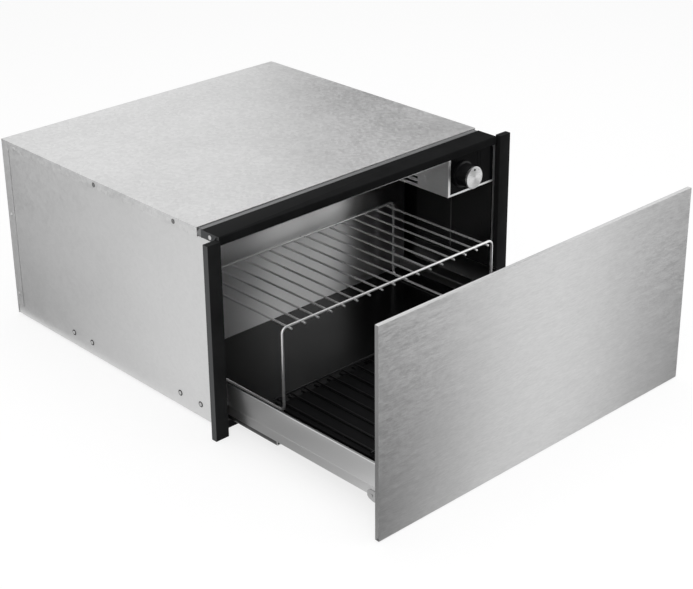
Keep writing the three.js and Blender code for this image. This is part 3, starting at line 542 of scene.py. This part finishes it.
def card(name, size, place, turn, lean, stops, near=None, far=None):
    """A card that only reflections see: its grey runs through stops along lean, in its own frame.

    Near and far are its strengths at its own rear edge and from two thirds of the way forwards.
    """
    rear_edge, two_thirds = 0.5, -0.17

    obj = plane(name, 1, place, turn)
    obj.scale = (*size, 1)
    tree, surface = stage_look(obj, name)
    glow = add_node(tree, "ShaderNodeEmission")
    coords = add_node(tree, "ShaderNodeTexCoord")
    dot = add_node(tree, "ShaderNodeVectorMath")
    dot.operation = "DOT_PRODUCT"
    dot.inputs[1].default_value = (*lean, 0)
    ramp = add_node(tree, "ShaderNodeValToRGB")
    low, high = stops[0][0], stops[-1][0]
    fit = add_node(tree, "ShaderNodeMapRange", From_Min=low, From_Max=high)
    places = ramp.color_ramp.elements
    while len(places) < len(stops):
        places.new(0.5)
    for spot, (at, _) in zip(list(places), stops):
        spot.position = (at - low) / (high - low)
    for spot, (_, level) in zip(sorted(places, key=lambda e: e.position), stops):
        spot.color = (*grey(level), 1)
    tree.links.new(coords.outputs["Object"], dot.inputs[0])
    tree.links.new(dot.outputs["Value"], fit.inputs["Value"])
    tree.links.new(fit.outputs["Result"], ramp.inputs["Fac"])
    tree.links.new(ramp.outputs["Color"], glow.inputs["Color"])
    if near:
        split = add_node(tree, "ShaderNodeSeparateXYZ")
        fade = add_node(tree, "ShaderNodeMapRange", From_Min=rear_edge, From_Max=two_thirds,
                        To_Min=near, To_Max=far)
        tree.links.new(coords.outputs["Object"], split.inputs[0])
        tree.links.new(split.outputs["Y"], fade.inputs["Value"])
        tree.links.new(fade.outputs["Result"], glow.inputs["Strength"])
    tree.links.new(glow.outputs[0], surface)
    for kind in ("camera", "diffuse", "transmission", "shadow", "volume_scatter"):
        setattr(obj, "visible_" + kind, False)


FLAT = (0, 0, 0)
FACING_FRONT = (math.radians(90), 0, 0)
FACING_SIDE = (0, math.radians(-90), 0)

# The front card lies on the floor before the panel; its grey runs across the panel's width.
card("front_card", (2.2, 0.82), (0.3, -0.772, -0.003), FLAT, (2.2, 1.009),
     [(-0.12, 0.24), (-0.01, 0.59), (0.1, 0.95), (0.2, 1.04), (0.3, 0.93), (0.42, 0.6),
      (0.53, 0.38)],
     near=0.76, far=1.06)
# The left card lies beside the casing, and darkens backwards and towards it.
card("left_card", (1.3, 1.6), (-0.925, 0.78, -0.002), FLAT, (1.95, 1.6),
     [(-0.1, 1.0), (0.16, 0.95), (0.48, 0.55), (0.63, 0.32), (1.0, 0.25)])
# The drawer card lies beside the open drawer, and darkens backwards.
card("drawer_card", (0.22, 0.33), (-0.375, -0.195, -0.001), FLAT, (0, 0.33),
     [(-0.165, 0.95), (-0.035, 0.5), (0.085, 0.32), (0.165, 0.3)])
# The post card stands beside the left post, where the drawer's side mirrors the casing's foot.
card("post_card", (0.13, 0.12), (-0.357, -0.03, 0.06), FACING_FRONT, (1, 0),
     [(-0.5, 0.3), (0.5, 0.2)])
# The right card stands well clear of the casing's right-hand side.
card("right_card", (0.9, 0.9), (1.3, 1.25, 0.72), FACING_SIDE, (0, 1),
     [(-0.5, 0.0), (0.0, 0.02), (0.5, 0.4)])
# The flag stands over the panel, and darkens the left of what the drawer's rear wall mirrors.
card("flag", (0.667, 1.0), (0.0365, -0.371, 0.8), FACING_FRONT, (1, 0),
     [(-0.5, 0.02), (0.5, 0.02)])


def lamp(name, place, target, side, power, mirrored=True):
    """A square lamp aimed at target; one that isn't mirrored leaves no image in shiny faces."""
    data = bpy.data.lights.new(name, "AREA")
    data.shape = "RECTANGLE"
    data.size = data.size_y = side
    data.energy = power
    obj = bpy.data.objects.new(name, data)
    obj.location = place
    aim = Vector(target) - Vector(place)
    obj.rotation_euler = aim.to_track_quat("-Z", "Y").to_euler()
    obj.visible_glossy = mirrored
    bpy.context.scene.collection.objects.link(obj)


lamp("key", (-1.6, -1.6, 2.4), (0, 0, 0.1), 1.6, 22, mirrored=False)
lamp("top", (0.3, 0.2, 2.6), (0, 0, 0.1), 2.2, 22, mirrored=False)
lamp("front", (1.6, -2.2, 1.2), (0, -0.2, 0.15), 1.7, 8)

# The camera that was solved from the photograph.
CAMERA_PLACE = (-1.44095, -1.53741, 1.12044)
CAMERA_RIGHT = Vector((0.73342955, -0.67963551, -0.01329191))
CAMERA_UP = Vector((0.28878198, 0.29381884, 0.91119452))
CAMERA_BEHIND = Vector((-0.61537474, -0.67213545, 0.41176191))

camera_data = bpy.data.cameras.new("camera")
camera = bpy.data.objects.new("camera", camera_data)
bpy.context.scene.collection.objects.link(camera)
camera_data.sensor_fit = "HORIZONTAL"
camera_data.sensor_width = 36
camera_data.lens = 84.27
camera_data.shift_x = 0.0247
camera_data.shift_y = -0.0609
camera_data.clip_end = 50
turn = Matrix((CAMERA_RIGHT, CAMERA_UP, CAMERA_BEHIND)).transposed()
camera.matrix_world = Matrix.Translation(CAMERA_PLACE) @ turn.to_4x4()
bpy.context.scene.camera = camera
bpy.context.scene.view_settings.view_transform = "Standard"
